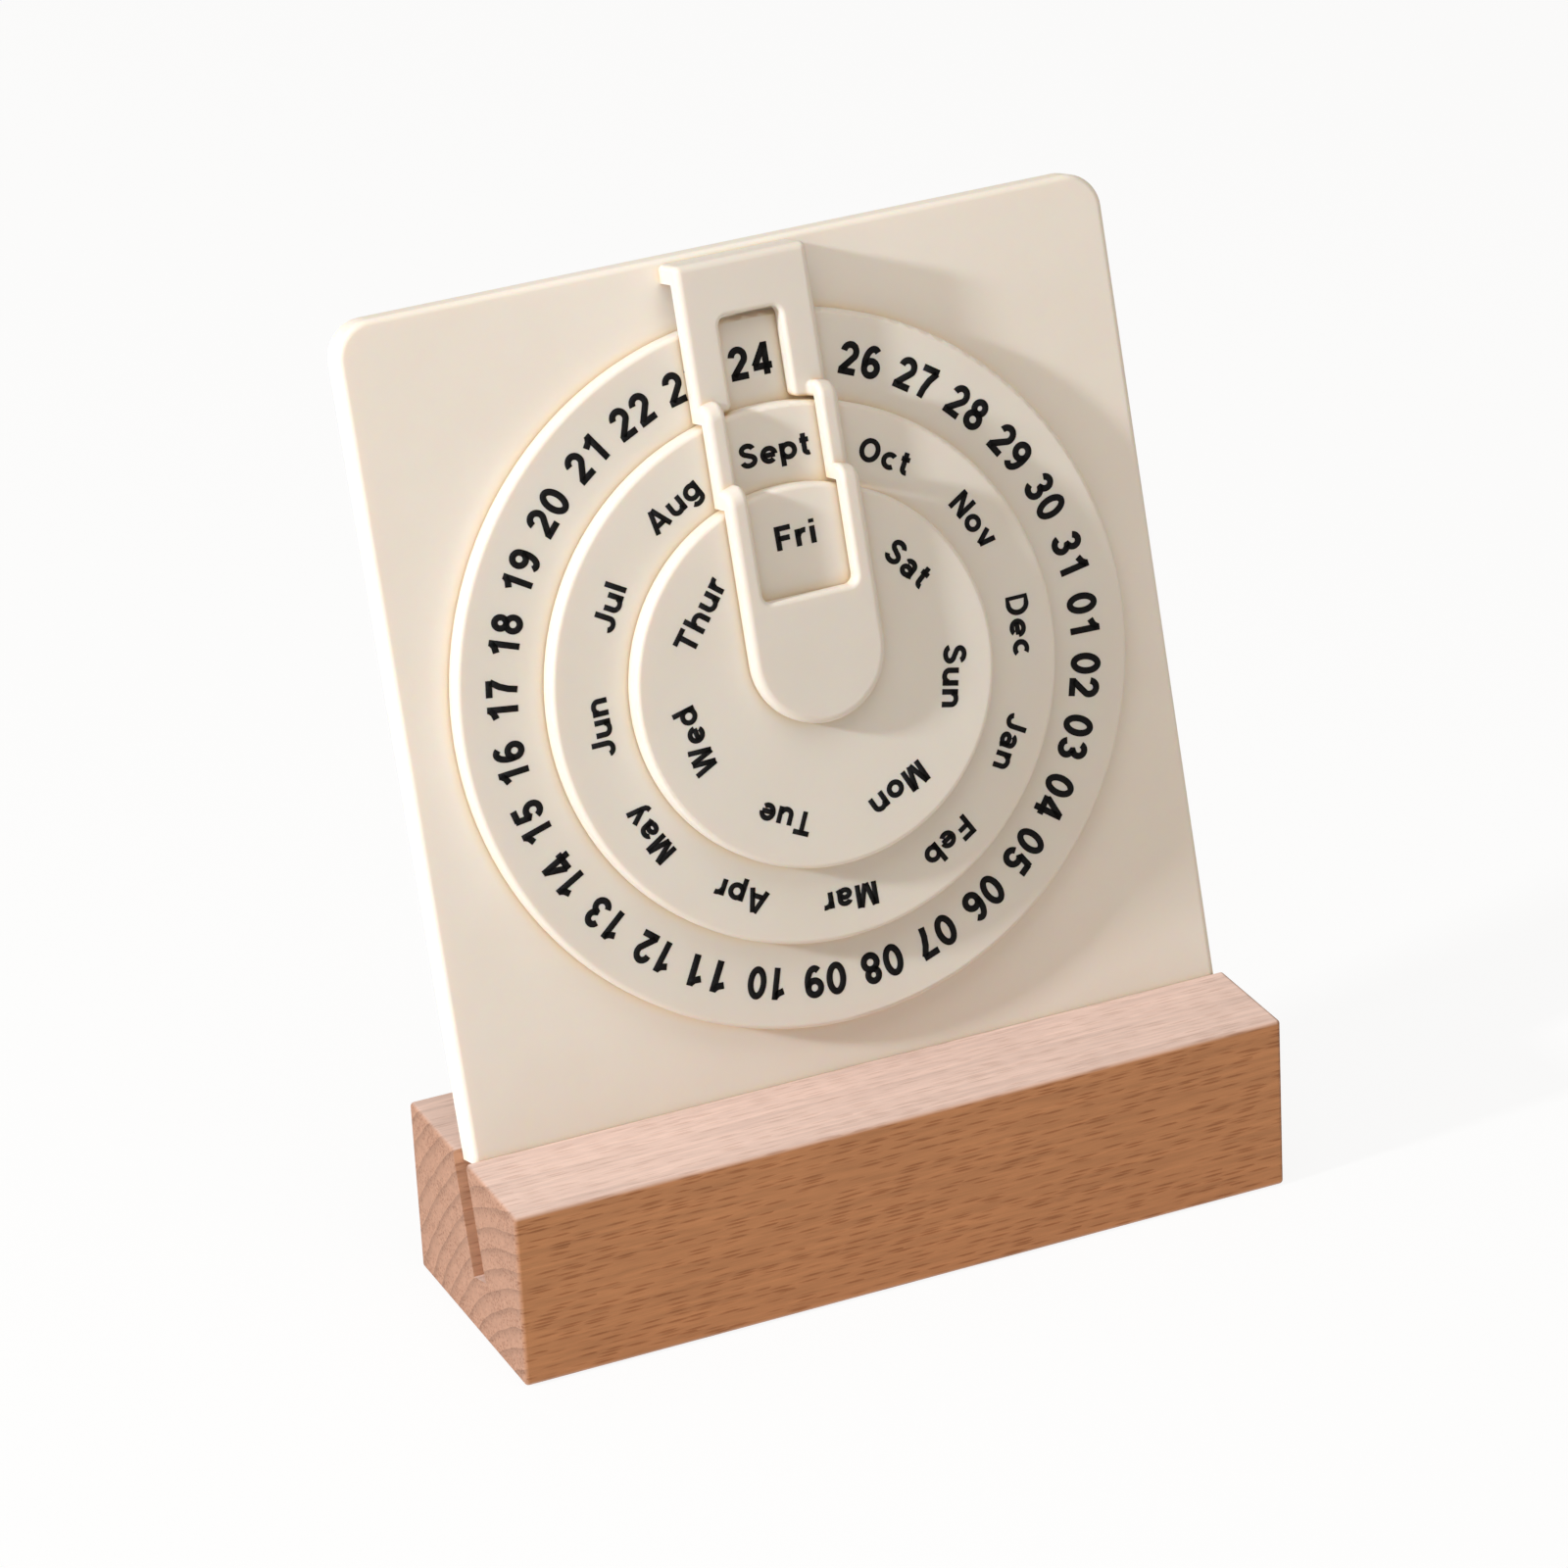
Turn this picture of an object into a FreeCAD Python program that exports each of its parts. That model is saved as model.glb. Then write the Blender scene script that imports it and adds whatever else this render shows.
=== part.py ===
import FreeCAD, Part
import math
import os

from FreeCAD import Placement, Rotation, Vector

# A perpetual desk calendar. A beech block has a slot that leans back, and a
# cream panel stands in it. On the panel three stacked discs turn about one
# hub: the date below, the month on it and the weekday on top. A stepped frame
# bridges the discs, and its window shows one place of each.
#
# Millimetres, Z up. X runs along the block and the dial faces -Y. The origin
# is the middle of the block's underside.

# Wooden block.
block_depth = 44.0
block_height = 30.0
block_overhang = 1.5
block_edge_radius = 0.7
slot_depth = 19.4
slot_clearance = 0.15

# Panel. The lean is measured from upright, in degrees, and the margins are
# what the panel shows round the date disc.
panel_lean = 15.0
panel_thickness = 5.0
panel_side_margin = 8.05
panel_upper_margin = 10.6
panel_lower_margin = 8.2
panel_corner_radius = 6.0
panel_edge_radius = 1.0
panel_front_at_wood = -2.05

# Discs. Each lies on a shoulder of the hub, one gap above the face below it.
date_disc_radius = 57.2
month_disc_radius = 43.0
weekday_disc_radius = 30.4
disc_thickness = 3.5
disc_gap = 0.3
disc_edge_radius = 0.8
disc_skin = 1.9
disc_rim_wall = 2.0
disc_rib_width = 1.2
date_places = 31
month_ribs = 24
weekday_ribs = 14

# Hub.
date_journal_radius = 13.0
month_journal_radius = 10.0
weekday_journal_radius = 7.0
journal_clearance = 0.05
thrust_pad_radius = 17.0
shoulder_overlap = 4.0
hub_top_stand = 0.2
hub_spigot_radius = 8.0
hub_ledge = 2.8
fit_clearance = 0.1

# Frame over the discs. Places up the frame are measured from the dial's middle.
frame_width = 22.5
frame_thickness = 2.6
frame_lift = 0.45
frame_end_margin = 0.9
frame_lobe_centre = 4.2
frame_riser_gap = 0.6
frame_corner_radius = 0.9
frame_edge_radius = 1.2
frame_edge_share = 0.47
frame_riser_radius = 2.5
date_window_width = 10.5
date_window_beyond_disc = 0.7
wide_window_width = 16.0
window_bottom = 13.5
window_corner_radius = 1.5
window_step_radius = 1.0
window_edge_radius = 0.8
leg_thickness = 2.9
tongue_width = 12.0
tongue_thickness = 1.8
tongue_setback = 0.5
boss_radius = 4.0
end_clearance = 0.3

# Screw and washer in the panel's back.
screw_radius = 1.5
screw_pilot_radius = 1.25
screw_hole_radius = 1.7
screw_length = 10.0
screw_pilot_spare = 1.0
screw_head_radius = 3.5
screw_head_height = 1.8
washer_radius = 9.0
washer_thickness = 0.8
recess_depth = 2.8

# The panel's outline, from the dial's middle, and the block under it.
panel_foot = -(slot_depth + panel_lower_margin + date_disc_radius)
panel_head = date_disc_radius + panel_upper_margin
panel_width = 2 * (date_disc_radius + panel_side_margin)
block_length = panel_width + 2 * block_overhang

# The frame's reach up the panel, and where its sheet steps down past each rim.
frame_top_end = panel_head - frame_end_margin
date_window_top = date_disc_radius + date_window_beyond_disc
month_riser = month_disc_radius + frame_riser_gap
weekday_riser = weekday_disc_radius + frame_riser_gap

# Heights above the panel's front face, in the dial's own frame.
disc_pitch = disc_thickness + disc_gap
disc_floor = [disc_gap + level * disc_pitch for level in range(3)]
disc_face = [floor + disc_thickness for floor in disc_floor]
frame_under = [face + frame_lift for face in disc_face]
frame_face = frame_under[2] + frame_thickness
web_back = recess_depth - panel_thickness
screw_seat = web_back - washer_thickness
screw_tip = screw_seat + screw_length


def to_place(shape):
    """Turn a solid from the dial's frame, where Z is out of the panel, to where it stands."""
    rise = -panel_foot - slot_depth
    lean = math.radians(panel_lean)
    middle = Vector(0, panel_front_at_wood + rise * math.sin(lean), block_height + rise * math.cos(lean))
    placed = shape.copy()
    placed.Placement = Placement(middle, Rotation(Vector(1, 0, 0), 90 - panel_lean))
    return placed


def box_between(low, high):
    """A box from its lowest to its highest corner."""
    return Part.makeBox(high[0] - low[0], high[1] - low[1], high[2] - low[2], Vector(*low))


def rod(radius, bottom, top):
    """A cylinder about the dial's axis, from one height to another."""
    return Part.makeCylinder(radius, top - bottom, Vector(0, 0, bottom))


def revolve(points):
    """Turn a closed outline of (radius, height) points once round the dial's axis."""
    corners = [Vector(radius, 0, height) for radius, height in points]
    outline = Part.makePolygon(corners + corners[:1])
    return Part.Face(outline).revolve(Vector(0, 0, 0), Vector(0, 0, 1), 360)


def outline_prism(edges, bottom, top):
    """A straight prism over a closed flat outline that is drawn at height zero."""
    face = Part.Face(Part.Wire(Part.__sortEdges__(edges)))
    face.translate(Vector(0, 0, bottom))
    return face.extrude(Vector(0, 0, top - bottom))


def make_base_block():
    half_length = block_length / 2
    half_depth = block_depth / 2
    block = box_between((-half_length, -half_depth, 0), (half_length, half_depth, block_height))
    block = block.makeFillet(block_edge_radius, block.Edges)
    saw = box_between((-block_length, -slot_depth, -panel_thickness - slot_clearance),
                      (block_length, block_height, slot_clearance))
    lean = Rotation(Vector(1, 0, 0), 90 - panel_lean)
    saw.Placement = Placement(Vector(0, panel_front_at_wood, block_height), lean)
    return block.cut(saw)


def make_face_panel():
    slab = box_between((-panel_width / 2, panel_foot, -panel_thickness), (panel_width / 2, panel_head, 0))
    upper_corners = [edge for edge in slab.Edges
                     if is_upright(edge) and edge.BoundBox.YMin > 0]
    slab = slab.makeFillet(panel_corner_radius, upper_corners)
    above_foot = panel_foot + panel_edge_radius
    front_edges = [edge for edge in slab.Edges
                   if edge.BoundBox.ZMin > -panel_edge_radius and edge.BoundBox.YMax > above_foot]
    slab = slab.makeFillet(panel_edge_radius, front_edges)
    hole = rod(hub_spigot_radius + journal_clearance, -panel_thickness, 0)
    recess = rod(washer_radius + fit_clearance, -panel_thickness, web_back)
    pocket = tongue(fit_clearance, -panel_thickness)
    return slab.cut([hole, recess, pocket])


def is_upright(edge):
    """Whether a straight edge runs along the dial's axis."""
    return isinstance(edge.Curve, Part.Line) and abs(edge.tangentAt(edge.FirstParameter).z) > 0.99


def tongue(clearance, bottom):
    """The flat tongue under the frame's leg, or with a clearance the slot that it plugs into."""
    middle = frame_top_end - leg_thickness + tongue_setback + tongue_thickness / 2
    half_width = tongue_width / 2 + clearance
    half_depth = tongue_thickness / 2 + clearance
    return box_between((-half_width, middle - half_depth, bottom), (half_width, middle + half_depth, 0))


def make_dial_hub():
    month_floor = disc_floor[1]
    weekday_floor = disc_floor[2]
    top = disc_face[2] + hub_top_stand
    ledge = web_back + hub_ledge
    bore = boss_radius + journal_clearance
    return revolve([
        (screw_hole_radius, web_back),
        (hub_spigot_radius, web_back),
        (hub_spigot_radius, 0),
        (thrust_pad_radius, 0),
        (thrust_pad_radius, disc_floor[0]),
        (date_journal_radius, disc_floor[0]),
        (date_journal_radius, month_floor),
        (month_journal_radius, month_floor),
        (month_journal_radius, weekday_floor),
        (weekday_journal_radius, weekday_floor),
        (weekday_journal_radius, top),
        (bore, top),
        (bore, ledge),
        (screw_hole_radius, ledge),
    ])


def make_disc(level, radius, journal_radius, rib_count):
    """A moulded disc: a skin with a rim, a hub ring and radial ribs behind it."""
    floor = disc_floor[level]
    face = disc_face[level]
    skin_back = face - disc_skin
    bore = journal_radius + journal_clearance
    ring = bore + shoulder_overlap
    rim = radius - disc_rim_wall
    shell = revolve([
        (bore, floor),
        (ring, floor),
        (ring, skin_back),
        (rim, skin_back),
        (rim, floor),
        (radius, floor),
        (radius, face),
        (bore, face),
    ])
    rib = box_between((-disc_rib_width / 2, (bore + ring) / 2, floor), (disc_rib_width / 2, (rim + radius) / 2, face))
    shell = shell.fuse([rib.rotated(Vector(), Vector(0, 0, 1), place * 360 / rib_count)
                        for place in range(rib_count)])
    shell = shell.removeSplitter()
    rim_edge = [edge for edge in shell.Edges if on_circle(edge, radius, face)]
    return shell.makeFillet(disc_edge_radius, rim_edge)


def on_circle(edge, radius, height):
    """Whether an edge lies on a circle about the dial's axis, at one height."""
    middle = edge.valueAt((edge.FirstParameter + edge.LastParameter) / 2)
    flat = edge.BoundBox.ZLength < 1e-4 and abs(middle.z - height) < 1e-4
    return flat and abs(math.hypot(middle.x, middle.y) - radius) < 1e-4


def make_indicator_frame():
    outline = frame_outline(0, frame_face)
    window = frame_window()
    shell = frame_shell().common(outline).cut(window).removeSplitter()
    shell = shell.makeFillet(window_step_radius, [edge for edge in shell.Edges if is_window_step(edge)])
    rim_radius = min(frame_edge_radius, frame_edge_share * frame_thickness)
    shell = shell.makeFillet(rim_radius, upper_edges(shell, outline))
    shell = shell.makeFillet(window_edge_radius, upper_edges(shell, window))
    leg_floor = frame_top_end - leg_thickness
    reach = box_between((-frame_width, leg_floor, 0), (frame_width, panel_head, frame_under[0]))
    leg = frame_outline(0, frame_under[0]).common(reach)
    ledge = web_back + hub_ledge
    boss = rod(boss_radius, ledge, frame_under[2])
    pilot = rod(screw_pilot_radius, ledge, screw_tip + screw_pilot_spare)
    solid = shell.fuse([leg, boss, tongue(0, end_clearance - panel_thickness)])
    return solid.removeSplitter().cut(pilot)


def frame_shell():
    """The stepped sheet over the discs, turned round the dial's axis so that its risers follow their rims."""
    low, middle, high = frame_under
    thick = frame_thickness
    sheet = revolve([
        (0, high),
        (weekday_riser, high),
        (weekday_riser, middle),
        (month_riser, middle),
        (month_riser, low),
        (panel_width, low),
        (panel_width, low + thick),
        (month_riser + thick, low + thick),
        (month_riser + thick, middle + thick),
        (weekday_riser + thick, middle + thick),
        (weekday_riser + thick, high + thick),
        (0, high + thick),
    ])
    heads = [edge for edge in sheet.Edges
             if on_circle(edge, month_riser + thick, middle + thick)
             or on_circle(edge, weekday_riser + thick, high + thick)]
    return sheet.makeFillet(frame_riser_radius, heads)


def frame_outline(bottom, top):
    """The frame seen from the front: a straight strip with a round lower end."""
    half = frame_width / 2
    left_foot = Vector(-half, frame_lobe_centre, 0)
    left_head = Vector(-half, frame_top_end, 0)
    right_head = Vector(half, frame_top_end, 0)
    right_foot = Vector(half, frame_lobe_centre, 0)
    lobe_end = Vector(0, frame_lobe_centre - half, 0)
    prism = outline_prism([
        Part.makeLine(left_foot, left_head),
        Part.makeLine(left_head, right_head),
        Part.makeLine(right_head, right_foot),
        Part.Arc(right_foot, lobe_end, left_foot).toShape(),
    ], bottom, top)
    corners = [edge for edge in prism.Edges if is_upright(edge) and edge.BoundBox.YMin > frame_top_end - 0.01]
    return prism.makeFillet(frame_corner_radius, corners)


def frame_window():
    """The opening over the three places: narrow at the date, wide at the month and the weekday."""
    half = wide_window_width / 2
    date_half = date_window_width / 2
    date_strip_face = frame_under[0] + frame_thickness
    inside = rod(month_riser, 0, frame_face)
    wide = box_between((-half, window_bottom, 0), (half, date_window_top, frame_face)).common(inside)
    over_step = box_between((-half, window_bottom, date_strip_face),
                            (half, month_riser + 2 * frame_thickness, frame_face))
    wide = wide.fuse(over_step).removeSplitter()
    wide_corners = [edge for edge in wide.Edges if is_upright(edge) and edge.BoundBox.YMax < window_bottom + 0.01]
    wide = wide.makeFillet(window_corner_radius, wide_corners)
    date = box_between((-date_half, window_bottom + window_corner_radius, 0),
                       (date_half, date_window_top, frame_face))
    date_corners = [edge for edge in date.Edges if is_upright(edge) and edge.BoundBox.YMin > date_window_top - 0.01]
    date = date.makeFillet(window_corner_radius, date_corners)
    return wide.fuse(date).removeSplitter()


def upper_edges(sheet, prism):
    """The edges of the stepped sheet's upper face that lie on the sides of a prism that trimmed it."""
    sides = Part.Compound([face for face in prism.Faces if abs(face.normalAt(0, 0).z) < 0.5])
    chosen = []
    for edge in sheet.Edges:
        middle = edge.valueAt((edge.FirstParameter + edge.LastParameter) / 2)
        over = middle.z - under_height(middle)
        if over > frame_thickness - 0.001 and sides.distToShape(Part.Vertex(middle))[0] < 0.001:
            chosen.append(edge)
    return chosen


def under_height(point):
    """The height of the sheet's underside, at a point's distance from the dial's axis."""
    reach = math.hypot(point.x, point.y) + 0.01
    if reach < weekday_riser:
        return frame_under[2]
    if reach < month_riser:
        return frame_under[1]
    return frame_under[0]


def is_window_step(edge):
    """Whether an edge is one of the two upright corners where the window widens."""
    point = edge.valueAt(edge.FirstParameter)
    at_side = abs(abs(point.x) - date_window_width / 2) < 0.001
    return is_upright(edge) and at_side and abs(math.hypot(point.x, point.y) - month_riser) < 0.001


def make_screw_washer():
    ring = rod(washer_radius, screw_seat, web_back)
    return ring.cut(rod(screw_hole_radius, screw_seat, web_back))


def make_centre_screw():
    head_back = screw_seat - screw_head_height
    head = rod(screw_head_radius, head_back, screw_seat)
    back_edge = [edge for edge in head.Edges if on_circle(edge, screw_head_radius, head_back)]
    head = head.makeFillet(screw_head_height / 2, back_edge)
    return head.fuse(rod(screw_radius, screw_seat, screw_tip)).removeSplitter()


def write_parts(parts):
    os.makedirs("parts", exist_ok=True)
    for name, shape in parts.items():
        shape.exportStep(f"parts/{name}.step")
        box = shape.BoundBox
        print(f"{name}: valid {shape.isValid()}, solids {len(shape.Solids)}, volume {shape.Volume:.1f}, "
              f"x {box.XMin:.2f} to {box.XMax:.2f}, y {box.YMin:.2f} to {box.YMax:.2f}, "
              f"z {box.ZMin:.2f} to {box.ZMax:.2f}")


write_parts({
    "base_block": make_base_block(),
    "face_panel": to_place(make_face_panel()),
    "dial_hub": to_place(make_dial_hub()),
    "date_disc": to_place(make_disc(0, date_disc_radius, date_journal_radius, date_places)),
    "month_disc": to_place(make_disc(1, month_disc_radius, month_journal_radius, month_ribs)),
    "weekday_disc": to_place(make_disc(2, weekday_disc_radius, weekday_journal_radius, weekday_ribs)),
    "indicator_frame": to_place(make_indicator_frame()),
    "screw_washer": to_place(make_screw_washer()),
    "centre_screw": to_place(make_centre_screw()),
})
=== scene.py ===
# %% [markdown]
# # A perpetual desk calendar
# A cream plastic panel leans back in a slot in a beech block. Three stacked discs on the panel carry
# the date, the month and the weekday, and a stepped frame shows one place of each. The solid pieces
# come from the CAD model, which is loaded first as a fixed frame. It could be remodelled here, but
# then the joints and the looks would drift apart, so only finishes and printing are added to it.

# %% Load the frame
import math

import bmesh
import bpy
from mathutils import Matrix, Vector


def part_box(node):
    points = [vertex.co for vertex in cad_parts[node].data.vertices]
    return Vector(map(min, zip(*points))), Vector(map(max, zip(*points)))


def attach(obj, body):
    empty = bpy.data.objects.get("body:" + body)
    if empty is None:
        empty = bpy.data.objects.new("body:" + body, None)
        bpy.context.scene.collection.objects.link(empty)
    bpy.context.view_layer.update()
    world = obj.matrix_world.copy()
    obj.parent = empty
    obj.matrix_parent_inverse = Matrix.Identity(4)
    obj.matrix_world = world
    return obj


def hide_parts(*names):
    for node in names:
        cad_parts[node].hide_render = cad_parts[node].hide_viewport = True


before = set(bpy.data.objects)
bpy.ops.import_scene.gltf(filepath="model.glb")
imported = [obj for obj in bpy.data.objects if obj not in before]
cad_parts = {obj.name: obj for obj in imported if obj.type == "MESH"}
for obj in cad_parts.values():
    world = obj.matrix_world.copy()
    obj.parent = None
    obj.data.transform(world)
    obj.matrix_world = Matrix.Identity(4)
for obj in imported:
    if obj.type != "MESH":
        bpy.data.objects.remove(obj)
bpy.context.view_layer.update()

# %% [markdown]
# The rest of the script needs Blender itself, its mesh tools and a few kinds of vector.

MM = 0.001

# %% [markdown]
# The camera stands well back with a long lens, as for a picture of a product in a catalogue, so the
# block's long edges hardly converge. It could be aimed with a constraint, but the picture is also
# rolled a little, so its three directions are given outright: right, up and back.

# %% Camera
CAMERA_PLACE = Vector((-387.82, -894.86, 543.10)) * MM
CAMERA_RIGHT = Vector((0.910174, -0.411312, -0.049048))
CAMERA_UP = Vector((0.217356, 0.373436, 0.901833))
CAMERA_BACK = Vector((-0.352619, -0.831485, 0.429292))
camera_data = bpy.data.cameras.new("camera")
camera_data.sensor_width = 36
camera_data.lens = 158.0
camera_data.clip_end = 20
camera = bpy.data.objects.new("camera", camera_data)
bpy.context.collection.objects.link(camera)
turn = Matrix((CAMERA_RIGHT, CAMERA_UP, CAMERA_BACK)).transposed().to_4x4()
camera.matrix_world = Matrix.Translation(CAMERA_PLACE) @ turn
bpy.context.scene.camera = camera
print("camera at", [round(value, 3) for value in CAMERA_PLACE], "lens", camera_data.lens)

# %% [markdown]
# A finish here is a small graph of nodes behind one shader. Clicking it together works as well, but
# a few short helpers keep every finish readable: one starts a finish, one adds a node, sets its
# values and wires its inputs, and the rest add the ramps, mixers and sums that come up again.

# %% Helpers for finishes
def new_finish(name):
    """A new material, its node tree and its one shader."""
    finish = bpy.data.materials.new(name)
    finish.use_nodes = True
    return finish, finish.node_tree, finish.node_tree.nodes["Principled BSDF"]


def add_node(tree, kind, inputs=None, **settings):
    """Add a node, set it up, and fill its inputs with values or with other nodes' outputs."""
    node = tree.nodes.new("ShaderNode" + kind)
    for name, value in settings.items():
        setattr(node, name, value)
    for socket, value in (inputs or {}).items():
        if isinstance(value, bpy.types.NodeSocket):
            tree.links.new(value, node.inputs[socket])
        else:
            node.inputs[socket].default_value = value
    return node


def add_ramp(tree, factor, stops):
    """A colour ramp from (place, colour) stops, driven by a factor."""
    ramp = add_node(tree, "ValToRGB", {"Fac": factor})
    elements = ramp.color_ramp.elements
    for number, (place, colour) in enumerate(stops):
        element = elements[number] if number < len(elements) else elements.new(place)
        element.position = place
        element.color = (*colour, 1)
    return ramp.outputs["Color"]


def grey(level):
    """A grey as a colour."""
    return (level, level, level)


def mix_colours(tree, share, first, second, blend="MIX"):
    """A colour mixer's output: each input is a colour, a number or another node's output."""
    # The mixer has sockets for plain numbers, vectors and colours. These are the colour's.
    return add_node(tree, "Mix", {0: share, 6: first, 7: second}, data_type="RGBA",
                    blend_type=blend).outputs[2]


def calculate(tree, operation, first, second=0.0):
    """A math node's output."""
    return add_node(tree, "Math", {0: first, 1: second}, operation=operation).outputs["Value"]


def spread(tree, value, start, stop, from_start=0.0, from_stop=1.0):
    """A value carried over from one range of numbers to another."""
    return add_node(tree, "MapRange", {"Value": value, "From Min": from_start, "From Max": from_stop,
                                       "To Min": start, "To Max": stop}).outputs["Result"]


print("helpers: new_finish, add_node, add_ramp, grey, mix_colours, calculate, spread")

# %% [markdown]
# The panel, discs and frame are moulded in one cream plastic. Real moulded plastic is never quite
# even: the colour drifts a little, the surface has a fine satin texture, and light enters it, which
# warms its edges and seams. A plain colour would look like paper, so the colour and the roughness
# follow soft noise, a very fine noise is the satin texture, and the shader scatters light inside.
# Scattering alone is too weak where two thin pieces meet, so a warm painted shade is added there:
# the colour turns darker and warmer wherever the ambient occlusion node finds something close by.
# The panel, the discs and the frame take this cream at three strengths, each a little stronger or
# weaker in tone.

# %% Cream plastic
CREAM_LIGHT = (0.875, 0.812, 0.745)
CREAM_DARK = (0.850, 0.782, 0.708)
# The tint of the painted shade in the seams, multiplied into the colour where parts meet.
SEAM_SHADE_TINT = (1.04, 0.86, 0.60, 1)
SEAM_REACH = 2.5 * MM


def cream_plastic(name, strength):
    """Moulded cream plastic that drifts between two near colours, at the strength given for each
    piece.
    """
    finish, tree, shader = new_finish(name)
    light = [value * strength for value in CREAM_LIGHT]
    dark = [value * strength for value in CREAM_DARK]
    place = add_node(tree, "TexCoord").outputs["Object"]
    drift = add_node(tree, "TexNoise", {"Vector": place, "Scale": 26.0, "Detail": 3.0,
                                        "Roughness": 0.6}).outputs["Fac"]
    colour = add_ramp(tree, drift, [(0.35, dark), (0.65, light)])
    satin = add_node(tree, "TexNoise", {"Vector": place, "Scale": 2600.0, "Detail": 2.0})
    bump = add_node(tree, "Bump", {"Height": satin.outputs["Fac"], "Strength": 0.08,
                                   "Distance": 0.1 * MM})
    # Painted shade: the colour turns darker and warmer where the ambient occlusion finds another part
    # close by.
    seam = add_node(tree, "AmbientOcclusion", {"Distance": SEAM_REACH}, samples=8).outputs["AO"]
    warm = mix_colours(tree, 1.0, colour, SEAM_SHADE_TINT, "MULTIPLY")
    colour = mix_colours(tree, spread(tree, seam, 0.9, 0.0, 0.30, 0.85), colour, warm)
    tree.links.new(colour, shader.inputs["Base Color"])
    tree.links.new(spread(tree, drift, 0.50, 0.60), shader.inputs["Roughness"])
    tree.links.new(bump.outputs["Normal"], shader.inputs["Normal"])
    shader.inputs["Specular IOR Level"].default_value = 0.4
    shader.inputs["Subsurface Weight"].default_value = 0.35
    shader.inputs["Subsurface Radius"].default_value = (1.0, 0.45, 0.18)
    shader.inputs["Subsurface Scale"].default_value = 2.5 * MM
    print(name, "strength", strength)
    return finish


# The same cream at three strengths: the discs a little darker than the panel, the frame darker still.
panel_cream = cream_plastic("panel_cream", 0.99)
disc_cream = cream_plastic("disc_cream", 0.91)
frame_cream = cream_plastic("frame_cream", 0.87)

# %% [markdown]
# The block is beech. Its growth rings are curved on the sawn ends, and along the grain they show
# only as faint streaks. A flat picture of wood would not meet at the block's edges, so one solid
# pattern runs through the whole block. The rings are circles round a line beside the block, and they
# are plain on the ends and faint elsewhere.

# %% Growth rings
RING_MIDDLE = (0, 40 * MM, 34 * MM)
RING_STRETCH = (0.12, 1, 1)


def growth_rings(tree, place, end_cut, tone):
    """The tone with darker late wood at the outer edge of each ring."""
    heart = add_node(tree, "Mapping", {"Vector": place, "Location": RING_MIDDLE,
                                       "Scale": RING_STRETCH})
    rings = add_node(tree, "TexWave", {"Vector": heart.outputs["Vector"], "Scale": 98.0,
                                       "Distortion": 2.2, "Detail": 2.0, "Detail Scale": 0.6,
                                       "Detail Roughness": 0.6},
                     wave_type="RINGS", rings_direction="X", wave_profile="SAW")
    shade = add_ramp(tree, rings.outputs["Fac"],
                     [(0.0, grey(1.06)), (0.6, grey(1.0)), (0.97, grey(0.74))])
    ringed = mix_colours(tree, 1.0, tone, shade, "MULTIPLY")
    return mix_colours(tree, spread(tree, end_cut, 0.22, 0.9), tone, ringed)


print("rings round", [round(value / MM) for value in RING_MIDDLE], "mm")

# %% [markdown]
# Beech is known by its short dark flecks, two to four millimetres long and a third of one across.
# They could be drawn one by one. A cell pattern that is squeezed across the grain gives thousands:
# each cell's middle is a fleck, and half of the cells are left without one. Fine fibres lie between.

# %% Fibres and flecks
FIBRE_STRETCH = (0.06, 1, 1)
FLECK_CELLS = (210, 2250, 2250)
FLECK_TILT = (0, math.radians(-3), 0)
FLECK_TINT = (0.55, 0.42, 0.34, 1)


def fibres(tree, place, tone):
    """The tone with fine light and dark fibres along the grain."""
    strand = add_node(tree, "Mapping", {"Vector": place, "Scale": FIBRE_STRETCH})
    fibre = add_node(tree, "TexNoise", {"Vector": strand.outputs["Vector"], "Scale": 1100.0,
                                        "Detail": 4.0, "Roughness": 0.7})
    shade = add_ramp(tree, fibre.outputs["Fac"], [(0.3, grey(0.86)), (0.7, grey(1.12))])
    return mix_colours(tree, 1.0, tone, shade, "MULTIPLY")


def flecks(tree, place, facing_up, tone):
    """The tone with flecks, which are fainter on top, and the flecks alone for the relief."""
    along = add_node(tree, "Mapping", {"Vector": place, "Rotation": FLECK_TILT,
                                       "Scale": FLECK_CELLS})
    cell = add_node(tree, "TexVoronoi", {"Vector": along.outputs["Vector"], "Scale": 1.0,
                                         "Randomness": 1.0})
    core = spread(tree, cell.outputs["Distance"], 1.0, 0.0, 0.24, 0.54)
    pick = add_node(tree, "SeparateColor", {"Color": cell.outputs["Color"]}).outputs["Red"]
    mark = calculate(tree, "MULTIPLY", core, calculate(tree, "GREATER_THAN", pick, 0.5))
    depth = calculate(tree, "MULTIPLY", mark, spread(tree, facing_up, 0.62, 0.26))
    darker = mix_colours(tree, 1.0, tone, FLECK_TINT, "MULTIPLY")
    return mix_colours(tree, depth, tone, darker), mark


print("fleck cells", [round(1000 / count, 2) for count in FLECK_CELLS], "mm")

# %% [markdown]
# Each face's own direction sets the block's tone: pale and pinkish on top, which is painted light and
# sheen, darker brown in front, which is painted shade, and in between on the sawn ends, the end
# grain's own tone. So one finish serves the whole block, and the three tones meet softly on the eased
# edges.

# %% Beech
# Painted shade in front and painted light on top; the sawn ends keep the end grain's own tone.
FRONT_SHADED_TONE = (0.530, 0.240, 0.108, 1)
UPPER_LIT_TONE = (0.740, 0.550, 0.485, 1)
END_TONE = (0.410, 0.230, 0.160, 1)


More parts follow.
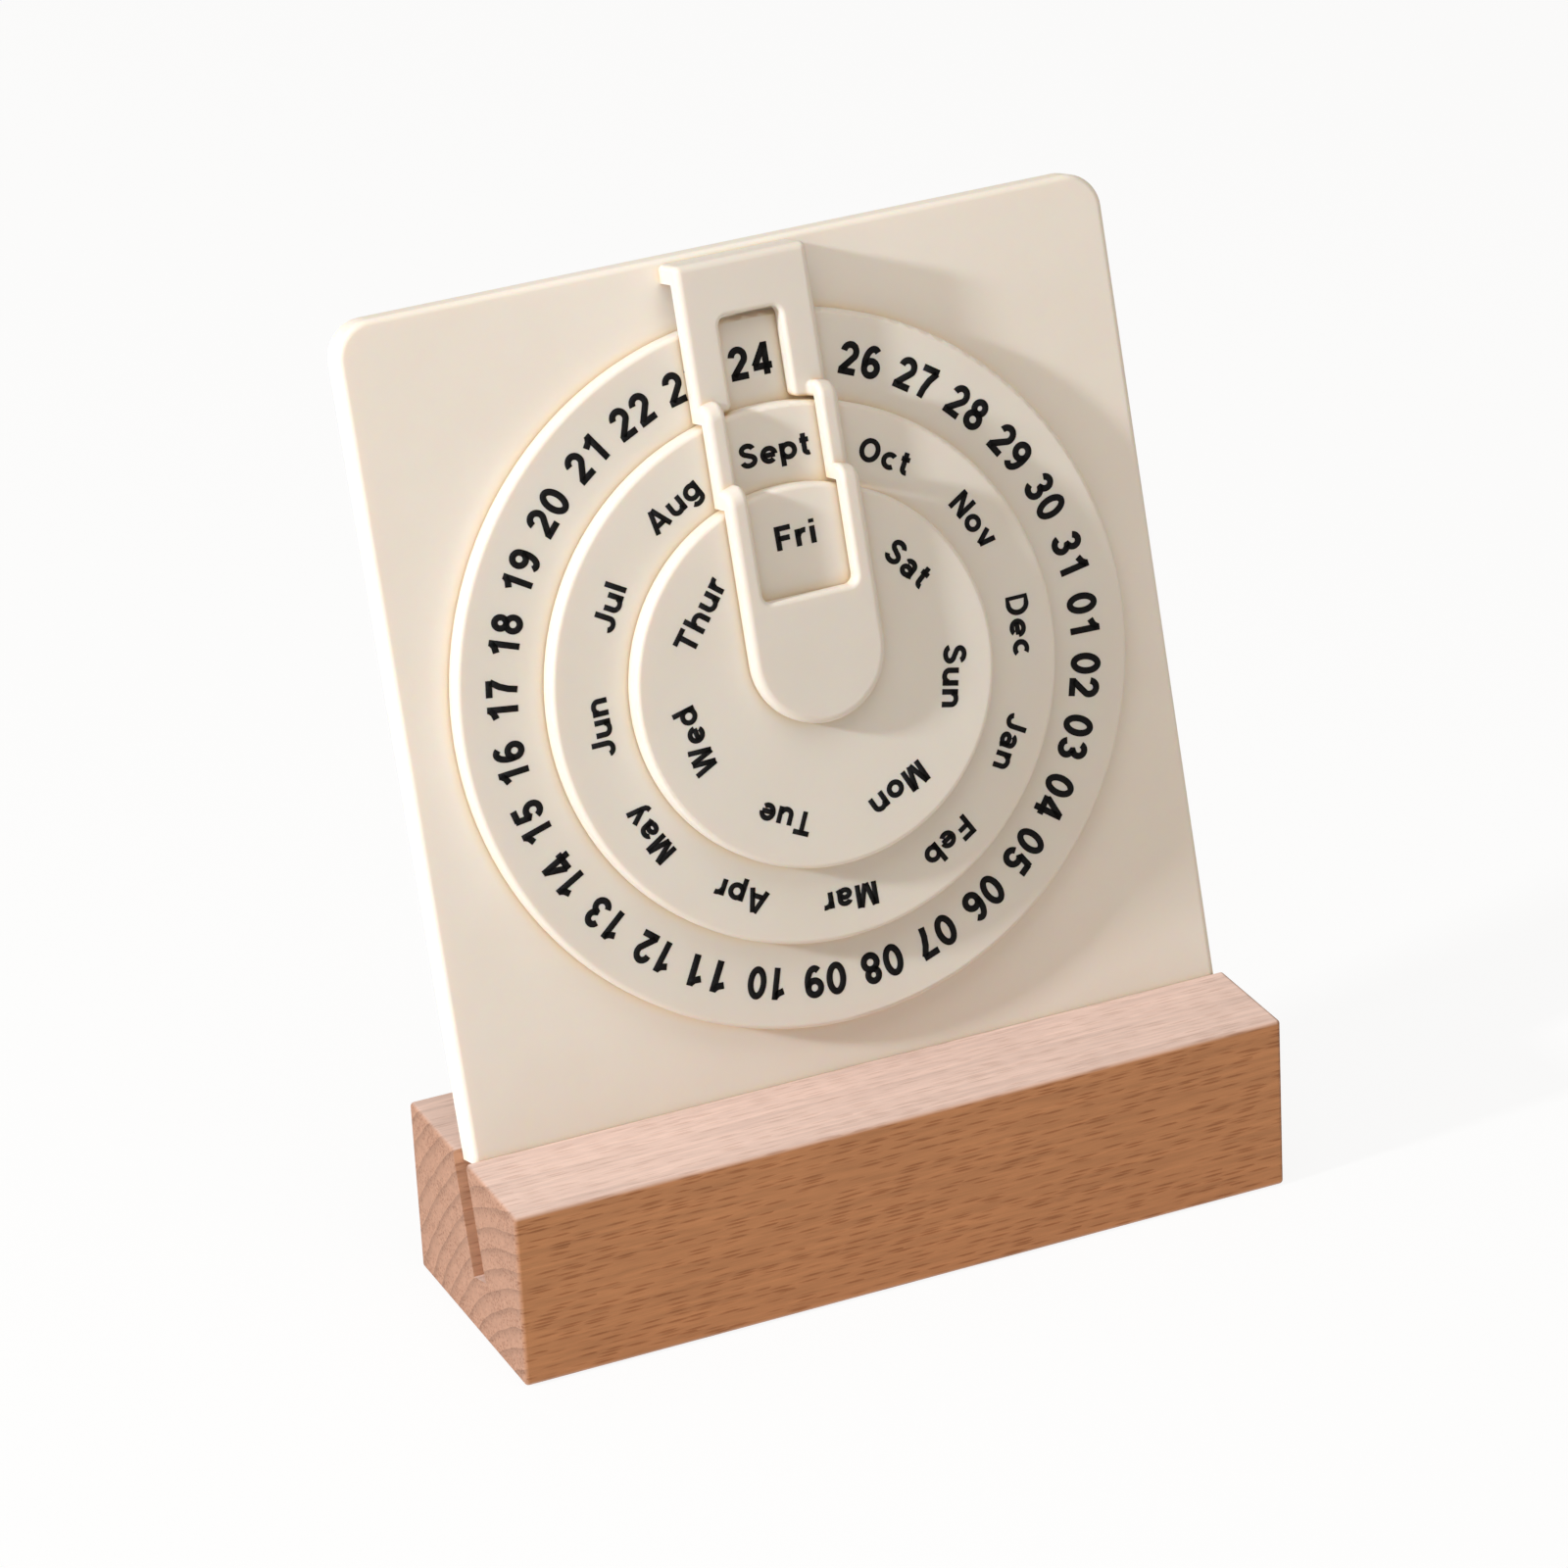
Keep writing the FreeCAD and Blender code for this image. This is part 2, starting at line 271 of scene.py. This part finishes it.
def beech(name):
    """Beech with its grain along X: painted light on top and painted shade in front by each face's
    direction, then rings, fibres and flecks.
    """
    finish, tree, shader = new_finish(name)
    coordinates = add_node(tree, "TexCoord")
    place = coordinates.outputs["Object"]
    cut = add_node(tree, "SeparateXYZ", {"Vector": coordinates.outputs["Normal"]})
    end_cut = calculate(tree, "ABSOLUTE", cut.outputs["X"])
    facing_up = calculate(tree, "ABSOLUTE", cut.outputs["Z"])
    # Painted light on top and painted shade in front, chosen by which way each face points.
    tone = mix_colours(tree, facing_up, FRONT_SHADED_TONE, UPPER_LIT_TONE)
    tone = mix_colours(tree, end_cut, tone, END_TONE)
    tone = growth_rings(tree, place, end_cut, tone)
    tone = fibres(tree, place, tone)
    tone, mark = flecks(tree, place, facing_up, tone)
    tree.links.new(tone, shader.inputs["Base Color"])
    bump = add_node(tree, "Bump", {"Height": mark, "Strength": 0.25, "Distance": 0.15 * MM},
                    invert=True)
    tree.links.new(bump.outputs["Normal"], shader.inputs["Normal"])
    shader.inputs["Roughness"].default_value = 0.68
    shader.inputs["Specular IOR Level"].default_value = 0.25
    return finish


wood = beech("beech")
print(wood.name, len(wood.node_tree.nodes), "nodes")

# %% [markdown]
# The screw and washer in the panel's back are plain steel. Metal needs little colour of its own:
# most of its look is a blurred picture of the room, so a streaky noise varies how blurred it is.

# %% Steel
def steel(name):
    """Plain steel with faint streaks."""
    finish, tree, shader = new_finish(name)
    place = add_node(tree, "TexCoord").outputs["Object"]
    streaks = add_node(tree, "Mapping", {"Vector": place, "Scale": (1, 8, 8)})
    noise = add_node(tree, "TexNoise", {"Vector": streaks.outputs["Vector"], "Scale": 400.0,
                                        "Detail": 3.0})
    tree.links.new(spread(tree, noise.outputs["Fac"], 0.25, 0.45), shader.inputs["Roughness"])
    shader.inputs["Base Color"].default_value = (0.56, 0.55, 0.53, 1)
    shader.inputs["Metallic"].default_value = 1.0
    return finish


plain_steel = steel("steel")
print(plain_steel.name, len(plain_steel.node_tree.nodes), "nodes")

# %% [markdown]
# Each CAD piece takes its finish by its material slots, and its mesh stays as it is.

# %% Give the CAD pieces their finishes
FINISH_OF = {
    "base_block": wood,
    "face_panel": panel_cream,
    "dial_hub": disc_cream,
    "date_disc": disc_cream,
    "month_disc": disc_cream,
    "weekday_disc": disc_cream,
    "indicator_frame": frame_cream,
    "screw_washer": plain_steel,
    "centre_screw": plain_steel,
}
for name, finish in FINISH_OF.items():
    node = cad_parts[name]
    node.data.materials.clear()
    node.data.materials.append(finish)
    print(name, "in", finish.name)

# %% [markdown]
# The printing is easiest to lay out flat, as on the printer's film, with the dial's middle at zero.
# One matrix then leans it back and lifts it onto the discs: X across, Y up the panel, Z out of it.

# %% The dial's own frame
LEAN = math.radians(15)
DIAL_MIDDLE = Vector((0, 14.877, 93.171)) * MM
dial = Matrix.Translation(DIAL_MIDDLE) @ Matrix.Rotation(math.radians(90) - LEAN, 4, "X")
FACE_HEIGHTS = {"date": 3.8, "month": 7.6, "weekday": 11.4}  # millimetres in front of the panel
print("dial middle", [round(value / MM, 2) for value in DIAL_MIDDLE])

# %% [markdown]
# Down in the slot the real panel is a little narrower than above it, so the slot's ends show warm
# shaded wood and not the panel's bright edge. The whole panel could be drawn again. Only two corners
# differ, so a copy of the CAD panel is taken, two plain blocks are cut from its foot with a Boolean
# modifier, and the copy stands for the panel. The cut stops just under the wood's top. Only the
# rounded edges are shaded smooth, because a wide flat face that shares their shading shows streaks.

# %% The blocks to cut away
FOOT_INSET = 6.0  # millimetres, and so are the next three
FOOT_SHOULDER = -65.8
FOOT_END = -90.0
BEYOND = 5.0


def foot_cutters(half_width):
    """One mesh of two blocks, at the panel's lower corners, in the dial's own frame."""
    blocks = bmesh.new()
    for side in (-1, 1):
        block = bmesh.ops.create_cube(blocks, size=1)["verts"]
        size = Vector((FOOT_INSET + BEYOND, FOOT_SHOULDER - FOOT_END, 4 * BEYOND))
        across = side * (half_width + (BEYOND - FOOT_INSET) / 2)
        middle = Vector((across, (FOOT_SHOULDER + FOOT_END) / 2, 0))
        bmesh.ops.scale(blocks, vec=size, verts=block)
        bmesh.ops.translate(blocks, vec=middle, verts=block)
    bmesh.ops.scale(blocks, vec=Vector((MM, MM, MM)), verts=blocks.verts)
    bmesh.ops.transform(blocks, matrix=dial, verts=blocks.verts)
    mesh = bpy.data.meshes.new("foot_cutters")
    blocks.to_mesh(mesh)
    blocks.free()
    return bpy.data.objects.new("foot_cutters", mesh)


print("foot narrower below", FOOT_SHOULDER, "by", FOOT_INSET, "mm a side")

# %% [markdown]
# The CAD mesh is loose triangles, which a Boolean can't tell inside from outside, so they are joined
# in a copy first. The CAD panel itself is left as it is: it is hidden, and still serves the motion.

# %% The panel with its narrower foot
WELD_WITHIN = 0.001 * MM
FLAT_FACE = 0.9995


def cut_panel():
    """A merged copy of the CAD panel with the two blocks cut away."""
    merged = bmesh.new()
    merged.from_mesh(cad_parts["face_panel"].data)
    bmesh.ops.remove_doubles(merged, verts=merged.verts, dist=WELD_WITHIN)
    copy = bpy.data.meshes.new("panel_and_foot")
    merged.to_mesh(copy)
    merged.free()
    copy.materials.append(panel_cream)
    piece = bpy.data.objects.new("panel_and_foot", copy)
    lowest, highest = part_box("face_panel")
    cutters = foot_cutters((highest[0] - lowest[0]) / 2 / MM)
    for item in (piece, cutters):
        bpy.context.collection.objects.link(item)
    cut = piece.modifiers.new("foot", "BOOLEAN")
    cut.operation = "DIFFERENCE"
    cut.solver = "EXACT"
    cut.object = cutters
    view = bpy.context.evaluated_depsgraph_get()
    result = bpy.data.meshes.new_from_object(piece.evaluated_get(view))
    upright = dial.to_3x3().inverted()
    for face in result.polygons:
        face.use_smooth = max(abs(value) for value in upright @ face.normal) < FLAT_FACE
    piece.modifiers.clear()
    piece.data = result
    bpy.data.objects.remove(cutters)
    bpy.data.meshes.remove(copy)
    result.name = "panel_and_foot"
    return piece


panel_and_foot = cut_panel()
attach(panel_and_foot, "panel")
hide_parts("face_panel")
print("panel and foot:", len(panel_and_foot.data.polygons), "faces")

# %% [markdown]
# The dial's letters are plain, even and bold, and the built-in ones are too light and too curly. A
# type designer would draw outlines. It is quicker to draw each letter's middle line and pull a broad
# flat pen along it, as a lettering guide does, which keeps every stroke equally wide. Capitals are one
# unit high, and each letter is its width and its strokes. First come the round strokes.

# %% The pen's ways
def bow(x, y, reach_x, reach_y, start, stop):
    """Points on part of an ellipse, from one angle to another, in degrees."""
    steps = max(6, round(abs(stop - start) / 9))  # a point every nine degrees
    turns = [math.radians(start + (stop - start) * number / steps) for number in range(steps + 1)]
    return [(x + reach_x * math.cos(turn), y + reach_y * math.sin(turn)) for turn in turns]


def loop(x, y, reach_x, reach_y):
    """A closed ellipse: its last point is its first."""
    return bow(x, y, reach_x, reach_y, 90, 450)


ARCH = bow(0.36, 0.42, 0.23, 0.21, 180, 0) + [(0.59, 0.0)]
BOWL = (0.265, 0.27)
print("an arch of", len(ARCH), "points, and bowls of", BOWL)

# %% [markdown]
# Ten digits serve the dates. All are equally wide, so that the dates sit evenly round the rim.

# %% Digits
LETTERS = {
    "0": (0.66, [loop(0.33, 0.5, 0.235, 0.41)]),
    "1": (0.66, [[(0.41, 0.0), (0.41, 1.0)], [(0.41, 0.93), (0.30, 0.80), (0.11, 0.71)]]),
    "2": (0.66, [bow(0.32, 0.68, 0.215, 0.23, 175, -30) + [(0.13, 0.13)],
                 [(0.03, 0.09), (0.61, 0.09)]]),
    "3": (0.66, [bow(0.31, 0.715, 0.19, 0.195, 165, -80) + bow(0.31, 0.30, 0.225, 0.21, 80, -168)]),
    "4": (0.66, [[(0.45, 0.0), (0.45, 1.0)], [(0.45, 0.96), (0.06, 0.30)],
                 [(0.01, 0.27), (0.64, 0.27)]]),
    "5": (0.66, [[(0.59, 0.91), (0.18, 0.91)], [(0.21, 0.98), (0.13, 0.47)],
                 bow(0.32, 0.32, 0.225, 0.23, 150, -165)]),
    "6": (0.66, [loop(0.34, 0.31, 0.22, 0.22), bow(0.36, 0.45, 0.25, 0.46, 195, 55)]),
    "7": (0.66, [[(0.04, 0.91), (0.60, 0.91)],
                 [(0.55, 0.88), (0.38, 0.58), (0.29, 0.30), (0.25, 0.0)]]),
    "8": (0.66, [loop(0.33, 0.72, 0.185, 0.19), loop(0.33, 0.31, 0.225, 0.22)]),
    "9": (0.66, [loop(0.32, 0.69, 0.22, 0.22), bow(0.30, 0.55, 0.25, 0.46, 15, -125)]),
}
print(len(LETTERS), "digits")

# %% [markdown]
# The capitals begin the names of the months and weekdays. A letter with a sharp point, such as A or
# M, is drawn with a separate stroke for each side, because a bent stroke narrows at its corner.

# %% Capitals
LETTERS |= {
    "A": (0.88, [[(0.09, 0.0), (0.41, 1.0)], [(0.79, 0.0), (0.47, 1.0)],
                 [(0.20, 0.29), (0.68, 0.29)]]),
    "D": (0.80, [[(0.36, 0.08), (0.10, 0.08), (0.10, 0.92), (0.36, 0.92)]
                 + bow(0.36, 0.5, 0.34, 0.42, 90, -90)]),
    "F": (0.66, [[(0.11, 0.0), (0.11, 1.0)], [(0.11, 0.89), (0.66, 0.89)],
                 [(0.11, 0.48), (0.59, 0.48)]]),
    "J": (0.60, [[(0.50, 1.0), (0.50, 0.40)] + bow(0.28, 0.29, 0.22, 0.21, 0, -170)]),
    "M": (0.92, [[(0.10, 0.0), (0.10, 1.0)], [(0.17, 1.0), (0.44, 0.0)], [(0.75, 1.0), (0.48, 0.0)],
                 [(0.82, 0.0), (0.82, 1.0)]]),
    "N": (0.78, [[(0.10, 0.0), (0.10, 1.0)], [(0.13, 0.93), (0.65, 0.07)],
                 [(0.68, 0.0), (0.68, 1.0)]]),
    "O": (0.90, [loop(0.45, 0.5, 0.35, 0.405)]),
    "S": (0.76, [bow(0.38, 0.725, 0.245, 0.19, 12, 255) + bow(0.38, 0.285, 0.27, 0.20, 75, -168)]),
    "T": (0.74, [[(0.0, 0.89), (0.74, 0.89)], [(0.37, 0.0), (0.37, 0.89)]]),
    "W": (1.20, [[(0.09, 1.0), (0.33, 0.0)], [(0.57, 1.0), (0.36, 0.0)], [(0.63, 1.0), (0.84, 0.0)],
                 [(1.11, 1.0), (0.87, 0.0)]]),
}
print(len(LETTERS), "digits and capitals")

# %% [markdown]
# The small letters are seven tenths of a capital high and share the arch and the bowl.

# %% Small letters
LETTERS |= {
    "a": (0.66, [loop(0.30, 0.215, 0.20, 0.16),
                 bow(0.32, 0.475, 0.21, 0.165, 165, 0) + [(0.53, 0.12), (0.57, 0.0)]]),
    "b": (0.70, [[(0.09, 0.0), (0.09, 1.0)], loop(0.355, 0.35, *BOWL)]),
    "c": (0.62, [bow(0.34, 0.35, *BOWL, 50, 310)]),
    "d": (0.70, [[(0.61, 0.0), (0.61, 1.0)], loop(0.345, 0.35, *BOWL)]),
    "e": (0.66, [bow(0.34, 0.35, *BOWL, 0, 312), [(0.09, 0.335), (0.60, 0.335)]]),
    "g": (0.70, [loop(0.345, 0.36, *BOWL),
                 [(0.61, 0.71), (0.61, 0.02)] + bow(0.35, -0.02, 0.26, 0.19, 0, -155)]),
    "h": (0.68, [[(0.09, 0.0), (0.09, 1.0)], [*ARCH]]),
    "i": (0.18, [[(0.09, 0.0), (0.09, 0.71)], [(0.09, 0.84), (0.09, 1.0)]]),
    "l": (0.18, [[(0.09, 0.0), (0.09, 1.0)]]),
    "n": (0.68, [[(0.09, 0.0), (0.09, 0.71)], [*ARCH]]),
    "o": (0.70, [loop(0.35, 0.35, *BOWL)]),
    "p": (0.70, [[(0.09, -0.27), (0.09, 0.71)], loop(0.355, 0.35, *BOWL)]),
    "r": (0.44, [[(0.09, 0.0), (0.09, 0.71)], bow(0.36, 0.40, 0.25, 0.22, 180, 75)]),
    "t": (0.42, [[(0.18, 0.92), (0.18, 0.24)] + bow(0.33, 0.22, 0.15, 0.14, 180, 290),
                 [(0.01, 0.64), (0.39, 0.64)]]),
    "u": (0.68, [[(0.68 - x, 0.71 - y) for x, y in ARCH], [(0.59, 0.0), (0.59, 0.71)]]),
    "v": (0.66, [[(0.08, 0.71), (0.31, 0.0)], [(0.58, 0.71), (0.35, 0.0)]]),
    "y": (0.66, [[(0.08, 0.71), (0.32, 0.04)],
                 [(0.58, 0.71), (0.35, 0.04), (0.27, -0.13), (0.20, -0.18), (0.08, -0.19)]]),
}
print(len(LETTERS), "letters and digits")

# %% [markdown]
# Ink is a thin dark skin on the plastic. It could be painted into the discs' colour, but its edges
# would blur close up, so each word is a real sliver of a mesh, sunk a little into the disc so that no
# gap shows under it. First comes the pen, as broad as the level's strokes.

# %% The pen
INK_PROUD = 0.03  # millimetres above the disc's face
INK_SUNK = 0.03


def make_pen(broad):
    """A flat pen: a closed rectangle, as broad as the strokes, for the curves to pull along."""
    curve = bpy.data.curves.new("pen", "CURVE")
    corners = curve.splines.new("POLY")
    corners.points.add(3)
    half = broad / 2
    for point, place in zip(corners.points, [(-half, 0), (half, 0), (half, 1), (-half, 1)]):
        point.co = (*place, 0, 1)
    corners.use_cyclic_u = True
    pen = bpy.data.objects.new("pen", curve)
    bpy.context.collection.objects.link(pen)
    return pen


print("ink", INK_PROUD + INK_SUNK, "mm thick,", INK_PROUD, "mm of it above the plastic")

# %% [markdown]
# A curve pulls the pen along each stroke. Its mesh is taken while the letter is still one unit high.
# A stroke that ends on its first point is closed, so that a bowl shows no seam.

# %% Letters
SAME_POINT = 1e-6
JOIN_WITHIN = 1e-5


def draw_letter(letter, pen):
    """A letter's bmesh, one unit high and one thick."""
    curve = bpy.data.curves.new("strokes", "CURVE")
    curve.dimensions = "3D"
    curve.bevel_mode = "OBJECT"
    curve.bevel_object = pen
    curve.use_fill_caps = True
    for stroke in LETTERS[letter][1]:
        closed = math.dist(stroke[0], stroke[-1]) < SAME_POINT
        points = stroke[:-1] if closed else stroke
        spline = curve.splines.new("POLY")
        spline.points.add(len(points) - 1)
        for point, (x, y) in zip(spline.points, points):
            point.co = (x, y, 0, 1)
        spline.use_cyclic_u = closed
    strokes = bpy.data.objects.new("strokes", curve)
    bpy.context.collection.objects.link(strokes)
    bpy.context.view_layer.update()
    view = bpy.context.evaluated_depsgraph_get()
    mesh = bpy.data.meshes.new_from_object(strokes.evaluated_get(view))
    shape = bmesh.new()
    shape.from_mesh(mesh)
    bpy.data.objects.remove(strokes)
    bpy.data.meshes.remove(mesh)
    bmesh.ops.remove_doubles(shape, verts=shape.verts, dist=JOIN_WITHIN)
    return shape


def extent(shape, axis):
    """The lowest and highest value of a bmesh along one axis."""
    values = [vert.co[axis] for vert in shape.verts]
    return min(values), max(values)


print("points closer than", JOIN_WITHIN, "are joined")

# %% [markdown]
# A word is its letters side by side. The gaps and the strokes are shares of a capital's height.

# %% Words
LETTER_GAP = {"date": 0.12, "month": 0.17, "weekday": 0.17}
STROKE = {"date": 0.215, "month": 0.22, "weekday": 0.22}


def flat_word(text, gap, pen):
    """A word's bmesh, one unit high and one thick, with its middle at x zero."""
    word = bmesh.new()
    reach = 0
    for letter in text:
        shape = draw_letter(letter, pen)
        bmesh.ops.translate(shape, verts=shape.verts, vec=(reach, 0, 0))
        mesh = bpy.data.meshes.new("letter")
        shape.to_mesh(mesh)
        shape.free()
        word.from_mesh(mesh)
        bpy.data.meshes.remove(mesh)
        reach += LETTERS[letter][0] + gap
    low, high = extent(word, 0)
    bmesh.ops.translate(word, verts=word.verts, vec=(-(low + high) / 2, 0, 0))
    return word, high - low


print("gaps", LETTER_GAP, "and strokes", STROKE)

# %% [markdown]
# Each word is stretched to the height and the width that it is printed at, which are measured on the
# dial, then moved out to its radius and turned to its place. The matrices act from right to left.

# %% Rings of words
def ring_piece(name, level, words, foot_radius, height, off_centre, finish):
    """One piece of printing: (word, width, turn) entries in millimetres and degrees, round a disc."""
    gathered = bmesh.new()
    pen = make_pen(STROKE[level])
    for text, width, turn in words:
        word, natural = flat_word(text, LETTER_GAP[level], pen)
        grow = Matrix.Diagonal((width / natural, height, INK_PROUD + INK_SUNK, 1))
        shift = Matrix.Translation((0, foot_radius, FACE_HEIGHTS[level] - INK_SUNK))
        turned = Matrix.Translation((*off_centre, 0)) @ Matrix.Rotation(math.radians(-turn), 4, "Z")
        bmesh.ops.transform(word, matrix=turned @ shift @ grow, verts=word.verts)
        mesh = bpy.data.meshes.new("word")
        word.to_mesh(mesh)
        word.free()
        gathered.from_mesh(mesh)
        bpy.data.meshes.remove(mesh)
    bpy.data.objects.remove(pen)
    in_metres = Matrix.Diagonal((MM, MM, MM, 1))
    bmesh.ops.transform(gathered, matrix=dial @ in_metres, verts=gathered.verts)
    bmesh.ops.recalc_face_normals(gathered, faces=gathered.faces)
    whole = bpy.data.meshes.new(name)
    gathered.to_mesh(whole)
    gathered.free()
    whole.materials.append(finish)
    piece = bpy.data.objects.new(name, whole)
    bpy.context.collection.objects.link(piece)
    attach(piece, level)
    print(name, len(words), "words,", len(whole.polygons), "faces")


# %% [markdown]
# The ink is black and dry. Its coat is slightly uneven, so its colour drifts a little.

# %% Ink
def printing_ink(name):
    """Dry black ink."""
    finish, tree, shader = new_finish(name)
    place = add_node(tree, "TexCoord").outputs["Object"]
    coat = add_node(tree, "TexNoise", {"Vector": place, "Scale": 900.0, "Detail": 2.0}).outputs["Fac"]
    colour = add_ramp(tree, coat, [(0.3, (0.004, 0.004, 0.005)), (0.7, (0.009, 0.009, 0.010))])
    tree.links.new(colour, shader.inputs["Base Color"])
    shader.inputs["Roughness"].default_value = 0.7
    shader.inputs["Specular IOR Level"].default_value = 0.15
    return finish


ink = printing_ink("ink")
print(ink.name, len(ink.node_tree.nodes), "nodes")

# %% [markdown]
# Thirty-one dates run clockwise from the one in the window. Each has a width in millimetres and a
# turn in degrees. The shown date stands straight, and the next is a little narrower, so that the
# frame hides it as in the photograph.

# %% Dates
DATES = 31
FIRST_DATE = 24
PAIR_WIDTH = 7.2
PAIR_WITH_ONE = 6.5
DATE_START = -1.5
SHOWN_DATE = ("24", PAIR_WIDTH, 0.0)
HIDDEN_DATE = ("25", 5.6, 9.95)
dates = [SHOWN_DATE, HIDDEN_DATE]
for number in range(len(dates), DATES):
    date = (FIRST_DATE - 1 + number) % DATES + 1
    width = PAIR_WITH_ONE if "1" in str(date) else PAIR_WIDTH
    dates.append((f"{date:02d}", width, DATE_START + number * 360 / DATES))
print(len(dates), "dates")

# %% [markdown]
# Months and weekdays have a width for each word, because a word with narrow letters is shorter.

# %% Months and weekdays
MONTH_START = -0.75
WEEKDAY_START = -1.0
MONTHS = [("Sept", 11.9), ("Oct", 9.0), ("Nov", 9.8), ("Dec", 9.5), ("Jan", 9.1), ("Feb", 9.4),
          ("Mar", 9.4), ("Apr", 9.3), ("May", 10.2), ("Jun", 9.3), ("Jul", 7.6), ("Aug", 10.2)]
WEEKDAYS = [("Fri", 6.8), ("Sat", 8.4), ("Sun", 9.9), ("Mon", 10.6), ("Tue", 9.1), ("Wed", 11.1),
            ("Thur", 12.3)]


def places(words, start):
    """Words and widths spread evenly round the circle, with their turns."""
    return [(word, width, start + number * 360 / len(words))
            for number, (word, width) in enumerate(words)]


months = places(MONTHS, MONTH_START)
weekdays = places(WEEKDAYS, WEEKDAY_START)
print(len(months), "months and", len(weekdays), "weekdays")

# %% [markdown]
# Printing never sits dead in the middle. Here the rings of months and weekdays are a fraction of a
# millimetre off their discs' middles, as on the photographed dial.

# %% Print the three discs
# For each ring: the radius of the letters' feet, their height, and how far off the middle, in mm.
DATE_RING = (47.2, 5.15, (0, 0))
MONTH_RING = (34.5, 3.75, (0.7, -0.5))
WEEKDAY_RING = (21.0, 3.85, (0.4, -0.2))
ring_piece("date_numbers", "date", dates, *DATE_RING, ink)
ring_piece("month_names", "month", months, *MONTH_RING, ink)
ring_piece("weekday_names", "weekday", weekdays, *WEEKDAY_RING, ink)

# %% [markdown]
# The studio is a pale floor, one key light that rakes across the panel from the left, a soft light
# overhead and a little in front, and an even warm glow all round. A darker room would look more
# dramatic, but then the colours would not read as they are written. The floor is white to the camera
# and keeps a soft shadow, because part of its light is its own.

# %% Floor
FLOOR_REACH = 6.0
FLOOR_DROP = 0.2 * MM
WHITE_SHARE = 0.9


def stage_floor():
    """A wide pale floor just under the block."""
    shape = bmesh.new()
    bmesh.ops.create_grid(shape, x_segments=2, y_segments=2, size=FLOOR_REACH)
    bmesh.ops.translate(shape, verts=shape.verts, vec=(0, 0, -FLOOR_DROP))
    mesh = bpy.data.meshes.new("floor")
    shape.to_mesh(mesh)
    shape.free()
    floor = bpy.data.objects.new("floor", mesh)
    bpy.context.collection.objects.link(floor)
    finish, tree, shader = new_finish("floor")
    shader.inputs["Base Color"].default_value = (0.86, 0.85, 0.84, 1)
    shader.inputs["Roughness"].default_value = 0.9
    shader.inputs["Specular IOR Level"].default_value = 0.1
    white = add_node(tree, "Emission", {"Color": (1, 1, 1, 1), "Strength": 1.0})
    seen = add_node(tree, "LightPath").outputs["Is Camera Ray"]
    mixed = add_node(tree, "MixShader", {0: calculate(tree, "MULTIPLY", seen, WHITE_SHARE),
                                         1: shader.outputs["BSDF"], 2: white.outputs["Emission"]})
    tree.links.new(mixed.outputs["Shader"], tree.nodes["Material Output"].inputs["Surface"])
    mesh.materials.append(finish)


stage_floor()
print("floor", 2 * FLOOR_REACH, "m across")

# %% [markdown]
# A lamp's place is given by the way its light travels, which is easier to judge from shadows than a
# position is. The key light is small enough to leave readable shadows of the frame and the discs.

# %% Lamps
AIM = Vector((0, 0, 0.07))


def lamp(name, travel, distance, size, power, colour):
    """A square lamp that shines along a direction at the object's middle."""
    data = bpy.data.lights.new(name, "AREA")
    data.size = size
    data.energy = power
    data.color = colour
    piece = bpy.data.objects.new(name, data)
    bpy.context.collection.objects.link(piece)
    way = Vector(travel).normalized()
    piece.location = AIM - way * distance
    piece.rotation_euler = way.to_track_quat("-Z", "Y").to_euler()
    print(name, power, "W from", distance, "m")


lamp("key", travel=(0.90, 0.09, -0.43), distance=2.2, size=0.15, power=46.0,
     colour=(0.95, 0.985, 1.0))
lamp("overhead", travel=(0.10, 0.30, -0.95), distance=0.45, size=0.3, power=0.58,
     colour=(0.97, 0.99, 1.0))

# %% [markdown]
# The room's glow is warm, so the shaded sides are warmer than the lit ones, as in the photograph. The
# Standard view shows the colours as they are computed. A filmic view would turn the white floor grey.

# %% Room
world = bpy.data.worlds.new("room")
bpy.context.scene.world = world
world.use_nodes = True
glow = world.node_tree.nodes["Background"]
glow.inputs["Color"].default_value = (1.0, 0.88, 0.72, 1)
glow.inputs["Strength"].default_value = 0.41
bpy.context.scene.view_settings.view_transform = "Standard"
print("room glow", round(glow.inputs["Strength"].default_value, 2))
